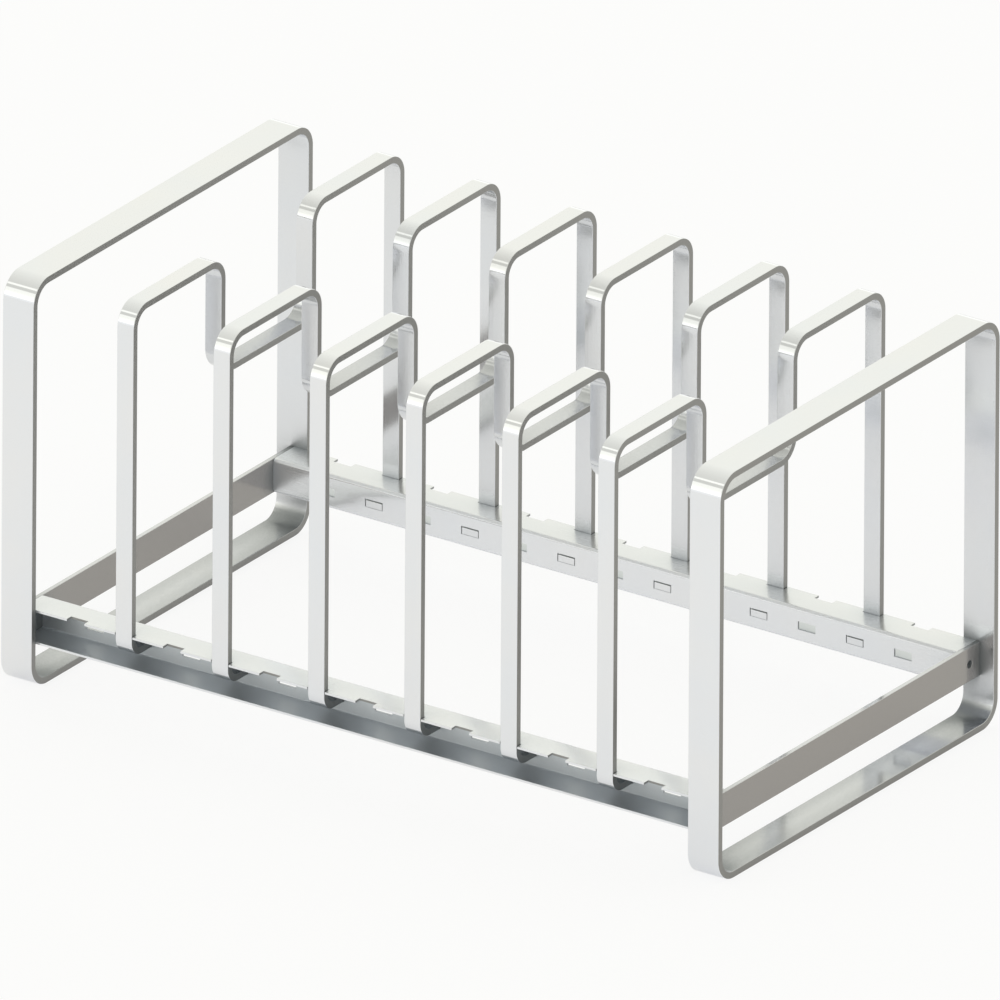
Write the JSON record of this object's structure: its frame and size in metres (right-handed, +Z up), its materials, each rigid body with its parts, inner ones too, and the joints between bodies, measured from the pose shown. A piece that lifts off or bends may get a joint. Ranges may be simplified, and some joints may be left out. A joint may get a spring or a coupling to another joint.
{
  "type": "pot lid rack",
  "caption": "Free-standing pot lid rack of polished steel strip: end hoops, a base frame of folded rails and saddle-shaped dividers set in notches, with a space between each pair for a lid.",
  "frame": {"origin": "on the table, under the middle of the rack", "axes": "+X along the rack from the left hoop to the right hoop, +Y to the back, +Z up"},
  "size_m": [0.3514, 0.2, 0.18],
  "materials": {
    "polished_strip": "polished flat steel strip",
    "rail_sheet": "polished folded sheet steel",
    "end_bar_steel": "polished flat steel bar"
  },
  "bodies": {
    "root": {"left_end_hoop": "polished_strip", "right_end_hoop": "polished_strip", "front_rail": "rail_sheet", "rear_rail": "rail_sheet", "left_end_bar": "end_bar_steel", "right_end_bar": "end_bar_steel", "divider_1": "polished_strip", "divider_2": "polished_strip", "divider_3": "polished_strip", "divider_4": "polished_strip", "divider_5": "polished_strip", "divider_6": "polished_strip"}
  },
  "joints": []
}
